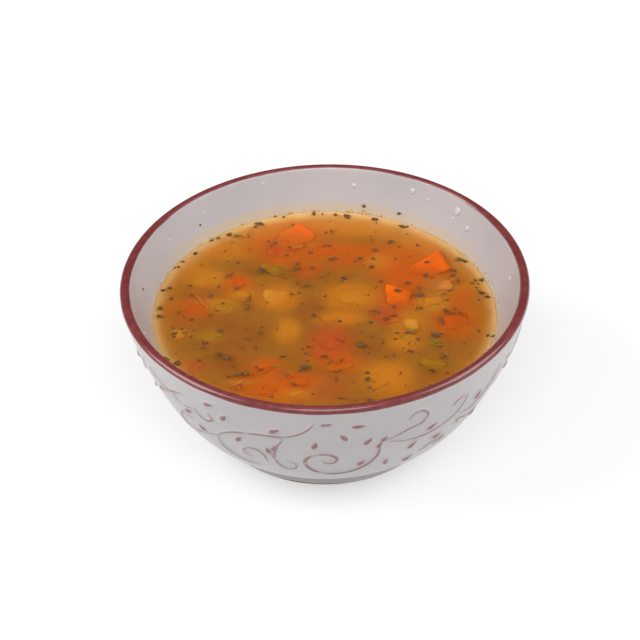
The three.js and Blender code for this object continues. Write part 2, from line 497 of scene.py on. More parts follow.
# Smooth strokes through (angle, height) points
VINES = (
    [(-34, 37), (-31, 40.5), (-26, 44.5), (-19, 47), (-12, 48), (-7, 51), (-4, 55), (-3, 57.5)],
    [(-34, 37), (-38, 34.5), (-44, 31), (-49, 29.5), (-50.5, 33), (-47, 40), (-43, 39)],
    [(-34, 37), (-34.5, 31), (-32, 26.5), (-27, 23.5), (-22, 23)],
    [(-24, 28.5), (-26, 32), (-24, 35.5), (-21, 36), (-19, 33), (-18.5, 28)],
    [(-12, 46), (-14, 41), (-15.5, 34), (-15, 28.5), (-12.5, 25), (-9.5, 26.5), (-9.5, 30), (-12, 31)],
    [(-39.5, 49), (-38.5, 46), (-36, 44.5), (-33.5, 46.5), (-34.5, 50)],
    [(-58, 53.5), (-55, 51), (-50, 49.5), (-47, 51.5), (-43, 54)],
    [(-48, 49), (-46, 46.5), (-41, 47.5)],
    [(17, 43.5), (20, 45), (24, 47.5), (27.5, 49), (29, 52.5), (27, 56), (24.5, 56), (23, 53)],
    [(19, 42), (25, 40), (31, 39.5), (37, 41.5), (41, 45), (42.5, 49), (43, 53)],
    [(43, 42), (47, 41), (51, 42.5), (55, 47), (57.5, 54)],
    [(37.5, 50.5), (39, 53), (41.5, 54)],
    [(32, 26), (35, 29.5), (40, 30.5), (39.5, 28), (37.5, 26.5)],
    [(44, 34.5), (43.5, 38), (48, 35.5)],
)

# The spiral: middle (angle, height), first radius, direction it starts in, sweep in degrees
SPIRAL = ((0.5, 33.5), 19.5, 25, -520)

# Leaf marks: angle, height, direction, length
LEAVES = (
    (-3, 44, 75, 4.5), (5, 49, 120, 4.5), (12, 45, 60, 4.5), (9, 55, 0, 5), (-14, 51, 35, 4.5),
    (-17, 37, 100, 4.5), (11, 30, 60, 4), (19.5, 27, 95, 4.5), (-33, 56, 20, 4), (-26, 40, 60, 4.5),
    (32, 43.5, 35, 4.5), (27, 35, 60, 5), (28, 24, 45, 4.5), (-43, 44, 30, 4), (49, 47, 70, 4.5),
    (0.3, 57, 5, 4), (15.6, 41, 80, 4.5), (16.8, 45, 65, 3.5), (-15, 39.5, 78, 4.5), (-15.6, 33.5, 90, 4.5),
    (-54, 46, 10, 4.5), (36, 34, 20, 4), (-29, 51, 60, 4.5), (52, 34, 40, 4.5), (-40, 36.5, 120, 4),
)


def smooth_through(points):
    """Evenly spaced points on a smooth curve (Catmull-Rom) through the given ones."""
    ends = [2 * points[0] - points[1], *points, 2 * points[-1] - points[-2]]
    out = []
    for a, b, c, d in zip(ends, ends[1:], ends[2:], ends[3:]):
        steps = max(2, int(np.linalg.norm(c - b) / STROKE_STEP))
        t = np.linspace(0, 1, steps, endpoint=False)[:, None]
        squared = (2 * a - 5 * b + 4 * c - d) * t**2
        cubed = (3 * b - a - 3 * c + d) * t**3
        out.append(0.5 * (2 * b + (c - a) * t + squared + cubed))
    return np.vstack([*out, points[-1]])


def on_outside(angle, level):
    radius = outer_radius(level)
    turn = math.radians(angle)
    return np.array([radius * math.sin(turn), -radius * math.cos(turn), level])


def beside(angle, level, across, up):
    """The (angle, height) that lies some way across and up the wall from another one."""
    step = 0.5
    rise = step / math.hypot(step, float(outer_radius(level + step) - outer_radius(level)))
    return angle + math.degrees(across / float(outer_radius(level))), level + up * rise


def spiral_points(middle, radius, start, sweep):
    steps = int(abs(sweep) / 20)
    for i in range(steps + 1):
        direction = math.radians(start + sweep * i / steps)
        reach = radius * SPIRAL_SHRINK ** (abs(sweep) / 90 * i / steps)
        yield beside(*middle, reach * math.cos(direction), reach * math.sin(direction))


def leaf_points(angle, level, direction, length):
    lean = math.radians(direction)
    for along in (-0.5, 0, 0.5):
        yield beside(angle, level, along * length * math.cos(lean), along * length * math.sin(lean))


def scroll_samples():
    """Points along every stroke of the scroll, each with the half width and height of the ridge there."""
    samples = []
    strokes = [(vine, VINE_SIZE, False) for vine in VINES]
    strokes.append((list(spiral_points(*SPIRAL)), SPIRAL_SIZE, False))
    strokes += [(list(leaf_points(*leaf)), LEAF_SIZE, True) for leaf in LEAVES]
    for turn in range(0, 360, MOTIF_REPEAT):
        for stroke, size, is_leaf in strokes:
            path = smooth_through([on_outside(angle + turn, level) for angle, level in stroke])
            along = np.linspace(0, 1, len(path))
            if is_leaf:
                fullness = 0.55 + 0.5 * np.sin(math.pi * along**0.7)
            else:
                fullness = 0.72 + 0.28 * np.sin(math.pi * along) ** 0.5
            samples.extend(zip(path, fullness * size))
    return samples


def relief(points, rows):
    """How much of a ridge each point of the bowl is on, from 0 to 1."""
    samples = scroll_samples()
    tree = kdtree.KDTree(len(samples))
    for index, (point, _) in enumerate(samples):
        tree.insert(Vector(point), index)
    tree.balance()
    amount = np.zeros(len(points))
    outside = (rows < LIP_TOP) & (points[:, 2] > BELLY_START[1])
    for i in np.nonzero(outside)[0]:
        _, index, distance = tree.find(Vector(points[i]))
        half_width = RIDGE_HALF_WIDTH * samples[index][1]
        if distance < half_width:
            amount[i] = samples[index][1] * 0.5 * (1 + math.cos(math.pi * distance / half_width))
    return amount


# ---- bowl

def soup_marks(tree, colour):
    """The wall with the film of fat above the soup, and tinted by the soup below its level."""
    inside = attribute(tree, "inside")
    above = maths(tree, "SUBTRACT", coordinate(tree, "Z"), SOUP_LEVEL * MM)
    low, high = (edge * MM for edge in FILM_EDGE)
    film = ramp(tree, frayed(tree, above, FILM_FRAY * MM, 5, 3), low, high)
    first, last = (edge * MM for edge in FILM_BACK)
    backwards = ramp(tree, coordinate(tree, "Y"), first, last, *FILM_STRENGTH)
    film = times(tree, times(tree, film, inside), backwards)
    colour = mix(tree, film, colour, STAIN)
    wet = times(tree, ramp(tree, above, 0.5 * MM, -0.3 * MM), inside)
    return mix(tree, wet, colour, attribute(tree, "murk", "Color"))


def lip_paint(tree):
    """Where the lip is painted, with a softer edge inside than outside."""
    from_lip = frayed(tree, attribute(tree, "from_lip"), LIP_PAINT_FRAY, 9)
    outside_edge = ramp(tree, from_lip, LIP_PAINT_OUTSIDE + 0.25, LIP_PAINT_OUTSIDE - 0.25)
    inside_edge = ramp(tree, from_lip, -LIP_PAINT_INSIDE - 0.45, -LIP_PAINT_INSIDE + 0.25)
    return times(tree, outside_edge, inside_edge)


def glaze_material():
    material, tree, shader = new_material("glazed_stoneware")
    colour = mix(tree, ramp(tree, spots(tree, 26), 0.35, 0.7), GLAZE, GLAZE_COOL)
    rubbed = ramp(tree, attribute(tree, "ridge"), 0.3, 0.75)
    patchy = ramp(tree, spots(tree, 6, 3), 0.25, 0.5, 0.35)
    colour = mix(tree, times(tree, rubbed, patchy), colour, WORN_MAROON)
    colour = soup_marks(tree, colour)
    paint = lip_paint(tree)
    maroon = mix(tree, ramp(tree, spots(tree, 3, 3), 0.3, 0.7), MAROON_DARK, MAROON)
    colour = mix(tree, paint, colour, maroon)
    # Bare clay at the foot, painted dark, which is also painted shade along its lower edge
    high, low = (edge * MM for edge in CLAY_AND_SHADE_EDGE)
    bare_and_shaded = ramp(tree, frayed(tree, coordinate(tree, "Z"), CLAY_AND_SHADE_FRAY * MM, 18), high, low)
    colour = mix(tree, bare_and_shaded, colour, CLAY_AND_SHADE)
    roughness = ramp(tree, paint, 0, 1, GLAZE_ROUGHNESS, LIP_ROUGHNESS)
    roughness = maths(tree, "MAXIMUM", roughness, times(tree, bare_and_shaded, CLAY_ROUGHNESS))
    pitted = bump(tree, spots(tree, 9), 0.12, 0.5)
    connect(tree, shader, Base_Color=colour, Roughness=roughness, Normal=pitted, IOR=1.5)
    return material


def make_bowl():
    """The bowl with its scroll raised and its rim slanted, and what its material reads at each point."""
    points, faces, rows = turned(OUTLINE)
    tangents = np.gradient(OUTLINE_POINTS, ALONG, axis=0)
    tangents /= np.linalg.norm(tangents, axis=1)[:, None]
    radial = points[:, :2] / np.maximum(np.hypot(points[:, 0], points[:, 1]), 1e-6)[:, None]
    normals = np.column_stack([radial * tangents[rows, 1][:, None], -tangents[rows, 0]])
    ridge = relief(points, rows)
    points += normals * (ridge * RIDGE_HEIGHT)[:, None]
    share = np.maximum(0, points[:, 2] - SOUP_LEVEL) / (BOWL_HEIGHT - SOUP_LEVEL)
    points[:, 2] += RIM_SLANT * points[:, 0] * share**2
    bowl = to_object("stoneware_bowl", points, faces, glaze_material())
    give(bowl, "ridge", ridge)
    around = np.arctan2(points[:, 0], -points[:, 1])
    from_lip = np.clip(ALONG[LIP_TOP] - ALONG, -30, 30)[rows]
    give(bowl, "from_lip", from_lip - LIP_PAINT_UNEVEN * np.cos(2 * around))
    give(bowl, "inside", (rows > LIP_TOP).astype(float))
    give(bowl, "murk", murk_colour(points))
    settle(bowl, "glazed_stoneware", "bowl")


# ---- broth

# Cloudy patches as they are seen from the front: x, y, half width across, half width back, colour
PATCHES = (
    (14, 53, 26, 7, GOLDEN), (-38, 39, 14, 8, GOLDEN), (38, 42, 12, 8, GOLDEN), (53, 13, 8, 9, GOLDEN),
    (-49, 24, 6, 9, GOLDEN), (-17, 42, 13, 6, ORANGE), (-11, 36, 13, 7, ORANGE), (-16, 31, 8, 3, ORANGE),
    (13, 38, 16, 5, ORANGE), (14, 31, 13, 8, ORANGE), (21, 30, 5, 5, YELLOW), (-19, 23, 9, 6, OLIVE),
    (13, 25, 5, 4, OLIVE), (-6, 22, 9, 6, BROWN), (-34, 16, 6, 7, ORANGE), (-43, 21, 5, 4, YELLOW),
    (-32, 10, 4, 3, GOLDEN), (-51, 1, 12, 13, RUST), (-17, 7, 9, 6, GOLDEN), (8, 8, 11, 9, GOLDEN),
    (5, -5, 8, 4, GOLDEN), (-6, -1, 7, 9, BROWN), (-38, 3, 5, 4, YELLOW), (-42, -15, 5, 4, YELLOW),
    (-32, -14, 12, 10, BROWN), (-22, -4, 6, 5, OLIVE), (-14, -12, 4, 7, GOLDEN), (2, -24, 9, 9, ORANGE),
    (14, -22, 7, 8, BROWN), (29, -18, 6, 6, GOLDEN), (24, -1, 8, 6, ROSY), (49, -6, 11, 13, ORANGE),
    (40, 4, 7, 6, YELLOW), (23, -40, 9, 10, GOLDEN), (39, -30, 5, 4, OLIVE), (45, -38, 11, 7, BROWN),
    (-18, -43, 16, 8, ORANGE), (-18, -47, 9, 6, ORANGE), (-21, -32, 7, 5, ORANGE), (-48, -34, 6, 5, ROSY),
    (-36, -30, 9, 5, BROWN), (0, -44, 9, 8, RUST), (36, 22, 12, 8, ORANGE), (28, 10, 8, 9, ORANGE),
    (28, 23, 9, 7, ORANGE),
)
# The colour that a piece lends to the broth round it
BLED = {
    "carrot": in_broth(204, 92, 26),
    "potato": in_broth(206, 128, 36),
    "onion": in_broth(196, 118, 58),
    "tomato": in_broth(190, 78, 40),
    "pod": in_broth(168, 118, 26),
}


def bled_patches():
    """A patch of colour round each piece, in the same terms as PATCHES."""
    for kind, x, y, _, length, width, *_ in SUNK_PIECES:
        yield x, y, BLED_SHARE * length, BLED_SHARE * width, BLED[kind]
    for _, kind, corners, *_ in CUT_PIECES:
        low, high = np.min(corners, axis=0), np.max(corners, axis=0)
        yield *((low + high) / 2), *((high - low) * BLED_SHARE), BLED[kind]


def murk_colour(points):
    """The colour of the cloudy broth at points inside the bowl: patches, and clearer towards the wall, where
    it is also painted lighter as painted light against the wall's shade.
    """
    depth = np.maximum(0, SOUP_LEVEL - points[:, 2])
    x = points[:, 0]
    y = points[:, 1] - SIGHT_SHIFT * np.minimum(depth, CORE_DEPTH)
    colour = np.tile(np.array(MURK), (len(points), 1))
    for middle_x, middle_y, half_x, half_y, patch in (*PATCHES, *bled_patches()):
        away = ((x - middle_x) / half_x) ** 2 + ((y - middle_y) / half_y) ** 2
        share = PATCH_STRENGTH * np.exp(-(away**1.4))[:, None]
        colour = colour * (1 - share) + np.array(patch) * share
    to_wall = np.maximum(0, WATERLINE_RADIUS - np.hypot(x, y))
    widening = 1 + BACK_WIDENS * np.maximum(0, y) / WATERLINE_RADIUS
    # The golden edge, with painted light against the wall's shade, and then the pale wall showing through
    for tint, strength, reach in ((EDGE_GOLD_AND_LIGHT, EDGE_STRENGTH, EDGE_REACH), (PALE, 1.0, PALE_REACH)):
        share = strength * np.exp(-((to_wall / (reach * widening)) ** 1.5))[:, None]
        colour = colour * (1 - share) + np.array(tint) * share
    return colour


def broth_material():
    """Clear broth with a wet skin. Its shadow lets light through to what lies below."""
    material, tree, shader = new_material("broth")
    ripples = bump(tree, spots(tree, 8), 0.05, 0.4)
    connect(tree, shader, Base_Color=BROTH_TINT, Roughness=BROTH_ROUGHNESS, IOR=WATER_IOR, Normal=ripples)
    connect(tree, shader, Transmission_Weight=1.0, Specular_Tint=BROTH_SHINE)
    shadow = add(tree, "ShaderNodeLightPath").outputs["Is Shadow Ray"]
    clear = add(tree, "ShaderNodeBsdfTransparent", {"Color": BROTH_SHADOW}).outputs[0]
    both = add(tree, "ShaderNodeMixShader", {0: shadow, 1: shader.outputs[0], 2: clear}).outputs[0]
    tree.links.new(both, tree.nodes["Material Output"].inputs["Surface"])
    return material


def make_broth():
    """The clear body of the soup: a flat top that curls up the wall, and sides just inside the wall."""
    edge = WATERLINE_RADIUS + INTO_WALL
    below = inner_curve(BELOW_ROWS)[:0:-1]
    outline = [(0, FLOOR_HEIGHT - INTO_WALL), *(below + (INTO_WALL, 0)), (edge, SOUP_LEVEL - 0.5)]
    for inward in SKIN_RINGS:
        rise = MENISCUS_RISE * math.exp(-inward / MENISCUS_REACH)
        outline.append((edge - inward, SOUP_LEVEL + rise))
    points, faces, _ = turned(even([*outline, (0, SOUP_LEVEL)]))
    settle(to_object("clear_broth", points, faces, broth_material()), "broth", "soup")


def core_material():
    """The cloudy broth, with finer clouds and flecks than its painted patches."""
    material, tree, shader = new_material("cloudy_broth")
    cloud = ramp(tree, spots(tree, 6, 3, 0.6), 0.3, 0.75)
    colour = mix(tree, times(tree, cloud, 0.16), attribute(tree, "murk", "Color"), GOLDEN)
    fleck = ramp(tree, spots(tree, 1.6, 2), 0.68, 0.74)
    colour = mix(tree, times(tree, fleck, 0.25), colour, BROWN)
    connect(tree, shader, Base_Color=colour, Roughness=0.9, Specular_IOR_Level=0.0)
    scatter(tree, shader, ramp(tree, attribute(tree, "to_wall"), 0.5, SCATTER_REACH), 4)
    return material


def mounds(points):
    """How far the cloudy core swells up round the sunk pieces."""
    rise = np.zeros(len(points))
    for _, x, y, depth, length, width, *_ in SUNK_PIECES:
        away = (points[:, 0] - x) ** 2 + (points[:, 1] - y - SIGHT_SHIFT * depth) ** 2
        reach = 0.6 * math.hypot(length, width)
        rise = np.maximum(rise, (CORE_DEPTH - depth - PIECE_SHOWS) * np.exp(-away / reach**2))
    return rise


def make_core():
    """The cloudy depth of the soup, as an uneven body under the clear top."""
    top = SOUP_LEVEL - CORE_DEPTH
    into = INTO_WALL / 2
    edge = float(inner_radius(top + CORE_CLIMB)) + into
    below = [(radius + into, level) for radius, level in inner_curve(BELOW_ROWS)[::-1] if level < top]
    surface = [(radius, top) for radius in np.linspace(edge, 0, CORE_RINGS)]
    points, faces, _ = turned(even([(0, FLOOR_HEIGHT - into), *below, *surface]))
    on_top = points[:, 2] == top
    surface = points[on_top]
    to_wall = edge - np.hypot(surface[:, 0], surface[:, 1])
    swell = np.array([noise.noise(Vector(point) / 9) for point in surface]) * CORE_SWELL
    calm = np.minimum(1, to_wall / CLIMB_REACH)
    points[on_top, 2] += CORE_CLIMB * np.exp(-to_wall / CLIMB_REACH) + calm * (swell + mounds(surface))
    core = to_object("cloudy_depth", points, faces, core_material())
    give(core, "murk", murk_colour(points))
    give(core, "to_wall", edge - np.hypot(points[:, 0], points[:, 1]))
    settle(core, "broth")


# ---- vegetables

def boiled(tree, grain_mm, light, dark):
    """The two tones of boiled flesh."""
    return mix(tree, ramp(tree, spots(tree, grain_mm, 3), 0.32, 0.68), light, dark)


def clouded(tree, colour, fade):
    """The colour as it fades into that of the broth round it."""
    return mix(tree, hidden_by(tree, *fade), colour, attribute(tree, "murk", "Color"))


def sunk_material(name):
    """Boiled flesh deep in the cloudy broth, which leaves only its soft colour to be seen."""
    material, tree, shader = new_material("sunk_" + name)
    colour = clouded(tree, boiled(tree, *VEGETABLES[name][:3]), SUNK_FADE)
    connect(tree, shader, Base_Color=colour, Roughness=0.9, Specular_IOR_Level=0.0)
    scatter(tree, shader, 1.0, 4)
    return material


def vegetable_material(name):
    """Boiled flesh near the surface, some of it veined, that fades into the broth as it goes deeper."""
    material, tree, shader = new_material(name)
    grain_mm, light, dark, vein = VEGETABLES[name]
    colour = boiled(tree, grain_mm, light, dark)
    if vein:
        streak = ramp(tree, spots(tree, grain_mm / 4, 2, 1.5), 0.55, 0.7)
        colour = mix(tree, times(tree, streak, 0.35), colour, vein)
    soft = bump(tree, spots(tree, 1.2, 3), 0.12, 0.4)
    colour = clouded(tree, colour, FADE)
    connect(tree, shader, Base_Color=colour, Roughness=0.8, Normal=soft, Specular_IOR_Level=0.0)
    scatter(tree, shader, 0.9, 3, 0.15)
    return material


def grid_cube(cuts):
    """The points of a finely cut cube from -1 to 1, and its faces."""
    work = bmesh.new()
    bmesh.ops.create_cube(work, size=2)
    bmesh.ops.subdivide_edges(work, edges=work.edges[:], cuts=cuts, use_grid_fill=True)
    work.verts.ensure_lookup_table()
    points = np.array([tuple(vertex.co) for vertex in work.verts])
    faces = [tuple(vertex.index for vertex in face.verts) for face in work.faces]
    work.free()
    return points, faces


FINE_CUBE = grid_cube(17)
COARSE_CUBE = grid_cube(9)
CORNERS = ((-1, -1), (1, -1), (1, 1), (-1, 1))


def cut_piece(cube, corners, tall, rounding, droop, uneven, seed):
    """A cut piece round its own middle: four plan corners, rounded edges, uneven faces.

    The droop is how far its outside lies lower than its middle.
    """
    unit, faces = cube
    corners = np.array(corners, float)
    middle = (corners.min(axis=0) + corners.max(axis=0)) / 2
    width = np.linalg.norm(corners[1] - corners[0])
    length = np.linalg.norm(corners[3] - corners[0])
    half = np.array([width, length, tall]) / 2
    soft = min(rounding, 0.95 * half.min())
    points = unit * half
    kept = np.clip(points, -(half - soft), half - soft)
    out = points - kept
    reach = np.maximum(np.linalg.norm(out, axis=1), 1e-9)
    points = kept + out / reach[:, None] * np.minimum(reach, soft)[:, None]
    u = (points[:, :1] / half[0] + 1) / 2
    v = (points[:, 1:2] / half[1] + 1) / 2
    plan = (1 - v) * ((1 - u) * corners[0] + u * corners[1]) + v * ((1 - u) * corners[3] + u * corners[2])
    points = np.column_stack([plan - middle, points[:, 2] - droop * (unit[:, :2] ** 2).sum(axis=1) / 2])
    points = wobble(points, 5, uneven, seed)
    return wobble(points, 1.6, uneven * 0.25, seed + 5), faces


def lean(points, about_x, about_y, turn=0.0):
    """Turned about Z, then leant about X and then about Y, in degrees."""
    turning = [Matrix.Rotation(math.radians(angle), 3, axis) for angle, axis in
               ((about_y, "Y"), (about_x, "X"), (turn, "Z"))]
    return points @ np.array(turning[0] @ turning[1] @ turning[2]).T


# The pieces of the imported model: node, kind, plan corners,
# height, lean about X and Y, rounding, droop, depth
CUT_PIECES = (
    ("carrot_wedge_right", "carrot", [(24, 21.5), (37, 19.5), (49, 26), (45, 39)],
     8, (6, -6), 1.4, 0.5, 0.1),
    ("carrot_wedge_back", "carrot", [(-29, 41), (-6, 42), (-2.5, 50), (-10, 58)],
     7, (9, -4), 1.2, 0.6, 0.4),
    ("carrot_dice_middle", "carrot", [(23, 5.5), (30.5, 0.5), (33.5, 13), (22.5, 17.5)],
     10, (8, 5), 1.3, 0.5, 0.2),
    ("potato_dice_left", "potato", [(-23.5, 2), (-12, 2.5), (-12.5, 14), (-24, 14.7)],
     11, (12, 9), 1.6, 0.7, 0.2),
    ("potato_dice_right", "potato", [(28, -13.5), (37, -12.5), (36.5, -2), (26.5, -2.5)],
     10, (10, 3), 3.6, 2.6, 0.5),
    ("onion_piece", "onion", [(40, 11.5), (49, 12.5), (48.5, 19.5), (39.5, 17.5)],
     4, (8, -9), 1.6, 0.8, 0.5),
    ("tomato_piece", "tomato", [(-4, -18), (1, -25), (8.5, -18.5), (2.5, -10)],
     7, (6, 4), 3.4, 2.0, 0.95),
)

# Sunk pieces as they are seen: kind, x, y, depth, length, width, height, turn
SUNK_PIECES = (
    ("potato", 11.5, 9.5, 1.2, 14, 11, 9, 15), ("potato", 41, 6, 0.9, 10, 7, 7, 20),
    ("potato", -54, -14, 0.55, 7, 6, 4, 0), ("potato", -44.5, 20, 1.3, 12, 9, 8, 50),
    ("potato", -31, 11, 1.3, 8, 6, 7, 10), ("potato", -13.5, -11.5, 1.2, 7, 11, 8, 0),
    ("potato", 6, -4.5, 1.2, 15, 6, 7, 5), ("potato", 22, -38, 1.1, 15, 12, 9, 25),
    ("potato", 29.5, -18, 1.1, 10, 8, 8, -15), ("potato", -10.5, -47, 1.3, 8, 5, 6, 30),
    ("potato", -40, 4, 1.9, 9, 6, 6, -35), ("potato", 22, 31, 1.3, 9, 7, 7, 40),
    ("carrot", -21.5, -33, 1.3, 7, 6, 6, 20), ("carrot", -24, -44, 1.3, 13, 9, 7, -10),
    ("carrot", -9, -40, 1.5, 10, 8, 7, 30), ("carrot", -33, 18, 1.2, 8, 7, 7, 35),
    ("carrot", 49, -7, 1.4, 13, 12, 8, 10), ("carrot", 2, 38, 1.3, 14, 8, 7, -10),
    ("carrot", -50, 2, 1.7, 12, 9, 7, 50), ("carrot", 52, 8, 1.7, 8, 9, 7, 0),
    ("carrot", 6, -31, 1.6, 12, 8, 7, 15), ("carrot", -6, 26, 1.7, 9, 7, 7, 40),
    ("tomato", -48, -32, 1.0, 8, 6, 4, -30), ("tomato", 24, -5, 1.2, 8, 6, 4, 20),
    ("tomato", 50, 18, 1.2, 6, 4, 4, -60), ("tomato", -18, 38, 1.5, 9, 6, 4, 10),
    ("pod", -38, 3.5, 1.0, 7, 4.5, 4, 10), ("pod", -42, -15, 0.9, 9, 4, 4, 15),
    ("pod", 38.5, -30.5, 0.9, 11, 5.5, 5, -5), ("pod", 40.5, -19, 0.6, 4, 2.6, 2.5, -20),
    ("onion", -46, 6, 0.9, 9, 1.6, 2, -60), ("onion", -30, -41, 1.0, 9, 1.8, 2, 35),
    ("onion", -8, 41, 1.2, 10, 2, 2.5, 20),
)

# Flesh of each kind: size of its grain, light tone, dark tone, veins
VEGETABLES = {
    "carrot": (4.0, linear(182, 84, 16), linear(172, 75, 13), linear(190, 98, 28)),
    "potato": (5.0, linear(156, 110, 42), linear(146, 100, 36), None),
    "onion": (3.0, in_broth(214, 136, 68), in_broth(206, 124, 56), in_broth(224, 154, 88)),
    "tomato": (3.0, in_broth(198, 84, 38), in_broth(188, 74, 34), in_broth(206, 102, 50)),
    "pod": (3.0, in_broth(170, 132, 30), in_broth(148, 112, 28), in_broth(120, 96, 26)),
}


def immersed(name, kind, material, points, faces, *nodes):
    """An object of one kind of vegetable, with the colour of the broth round each point."""
    piece = to_object(name, points, faces, material)
    give(piece, "murk", murk_colour(points))
    settle(piece, kind, *nodes)


def make_cut_pieces():
    for seed, (node, kind, corners, tall, leans, rounding, droop, depth) in enumerate(CUT_PIECES):
        points, faces = cut_piece(FINE_CUBE, corners, tall, rounding, droop, CUT_UNEVEN, seed * 3.1)
        points = lean(points, *leans)
        points[:, :2] += (np.min(corners, axis=0) + np.max(corners, axis=0)) / 2
        points[:, 2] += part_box(node)[1][2] / MM - depth - points[:, 2].max()
        immersed(node + "_flesh", kind, FLESH[kind], points, faces, node)


def make_pod():
    """A short length of bean pod on its side, plump over the seeds."""
    low, high = (np.array(corner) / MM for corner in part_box("pod_slice"))
    length, width, tall = POD_SIZE
    corners = [(side * length / 2, end * width / 2) for side, end in CORNERS]
    points, faces = cut_piece(FINE_CUBE, corners, tall, tall * 0.46, POD_DROOP, POD_UNEVEN, 9.0)
    points[:, 1:] *= (1 + SEED_BULGE * np.cos(points[:, 0] * 1.1))[:, None]
    points = lean(points, 0, POD_LEAN, POD_TURN)
    points[:, :2] += ((low + high) / 2)[:2]
    points[:, 2] += high[2] - POD_DEPTH - points[:, 2].max()
    immersed("pod_slice_flesh", "pod", FLESH["pod"], points, faces, "pod_slice")


def make_sunk_pieces():
    rng = random.Random(SEED)
    parts = {kind: [] for kind in VEGETABLES}
    for kind, x, y, depth, length, width, tall, turn in SUNK_PIECES:
        half = (SUNK_SWELL * length / 2, SUNK_SWELL * width / 2)
        corners = [[sign * reach * rng.uniform(*SUNK_SIDES) for sign, reach in zip(corner, half)]
                   for corner in CORNERS]
        shape = (tall, min(width, tall) * 0.45, SUNK_DROOP, SUNK_UNEVEN)
        points, faces = cut_piece(COARSE_CUBE, corners, *shape, rng.uniform(0, 90))
        leans = [rng.uniform(-SUNK_LEAN, SUNK_LEAN) for _ in range(2)]
        points = lean(points, *leans, turn)
        points += (x, y + SIGHT_SHIFT * depth, SOUP_LEVEL - depth - points[:, 2].max())
        parts[kind].append((points, faces))
    for kind, shapes in parts.items():
        immersed("sunk_" + kind, kind, sunk_material(kind), *joined(shapes))


# ---- herbs, fat and water

# Herb flecks on the surface: x, y, length, width, turn
DARK_HERBS = (
    (-50, 36.5, 2.7, 2.4, 0), (-37.5, 49, 2.9, 2.3, 0), (-26, 56, 3.6, 1.8, -20), (-44, 45, 1.8, 1.2, 30),
    (-19.5, 61.3, 1.3, 1.5, 0), (-16, 60.5, 1.5, 1.1, 0), (-4, 62.6, 1.8, 1.9, 0),
    (-0.5, 62.4, 1.2, 1.3, 0), (-54.5, 31, 1.6, 1.1, 0), (-57.5, 27, 0.9, 1.1, 0), (-56, 27.5, 1.1, 1.3, 0),
    (-61, 13, 2.3, 1.6, 55), (-58.5, 14.5, 2.6, 1.5, 0), (-42, 20.5, 1.3, 0.9, 0),
    (-33.5, 14.5, 2.1, 1.3, 0), (-24.5, 25, 4.2, 2.2, 70), (-14.5, 35, 2, 1.4, 30),
    (-5, 26.5, 1.8, 1.6, -30), (0, 9, 1.8, 1.5, 0), (-22, 44.5, 2.4, 1.2, 70), (-19, 43, 2.2, 1.5, -55),
    (4.5, 62, 1.5, 1.8, 0), (9, 61, 3, 2.9, 0), (20, 58.8, 2.9, 1.6, -10), (31, 53.5, 4.4, 1.5, -42),
    (54, 30.5, 2.6, 1.4, -45), (59.5, 18.5, 2.4, 1.5, 50), (61, 8, 3, 1.6, 30), (57.5, 13.5, 1.8, 1, 0),
    (58, 11.5, 1.2, 0.9, -45), (57.5, 6, 1, 1, 0), (3, 32.5, 4.4, 1.6, 0), (14, 33, 2.4, 1.8, -15),
    (7.5, 20, 2, 1.4, -45), (20, 38, 2.4, 1.7, -15), (26, 43.5, 2.8, 2.6, 30), (39.5, 30, 2.4, 1.6, 25),
    (39, 21.5, 2.8, 1.8, -15), (18, 27, 2.1, 1.7, 0), (-61, 2, 2.4, 1.6, -60), (-61, -3, 2.9, 1.4, -25),
    (-52.5, -10, 1.6, 1.4, 0), (-51.5, -12.5, 1.3, 0.9, 0), (-49, -15, 1.4, 1.1, 45),
    (-53, -30, 2.8, 1.9, 0), (-38, -24.5, 2.2, 1.6, 15), (-35.5, -27, 3, 1.9, 45),
    (-31, -36, 3.3, 2.3, -15), (-28.5, -16.5, 3.2, 1.5, 5), (-8.5, 4.5, 1.4, 1.3, 0),
    (-8, -33, 5.6, 2.2, 40), (-11, -42, 2.6, 1.1, -30), (-0.5, -26.5, 3.6, 1.1, 10),
    (17.5, -0.5, 3.8, 0.6, -10), (20, -1, 1.7, 1.8, 0), (17, -7, 1.8, 1.6, 0), (26, -3, 2.6, 1.3, 20),
    (26, 2.5, 3, 1.2, 70), (31, -13.5, 4, 1, 0), (34, -17, 2.2, 1.9, 0), (31, -24, 2.7, 1.3, -40),
    (25, -26.5, 2.4, 1.5, -70), (45.5, -1, 5, 2.2, -40), (50.5, -2, 2.5, 1, -30),
    (41, -14.5, 4.2, 1.7, -25), (42.5, -27, 2.9, 2.2, 15), (56.5, -12.5, 2.3, 1, -15),
    (15, -36, 1.9, 1.5, 0), (15.5, -39.5, 2.4, 1.8, -25), (15.5, -44, 2.2, 1.5, 70),
    (26, -49.5, 2.7, 2, -15), (57.5, -26, 2.6, 1.1, 65), (-24.5, -32.5, 1.3, 1.5, 0),
    (-23, -34, 2.2, 1, -10), (27.5, 12, 2.8, 2.4, 0), (35.5, 9.5, 3.4, 2.6, -45),
)
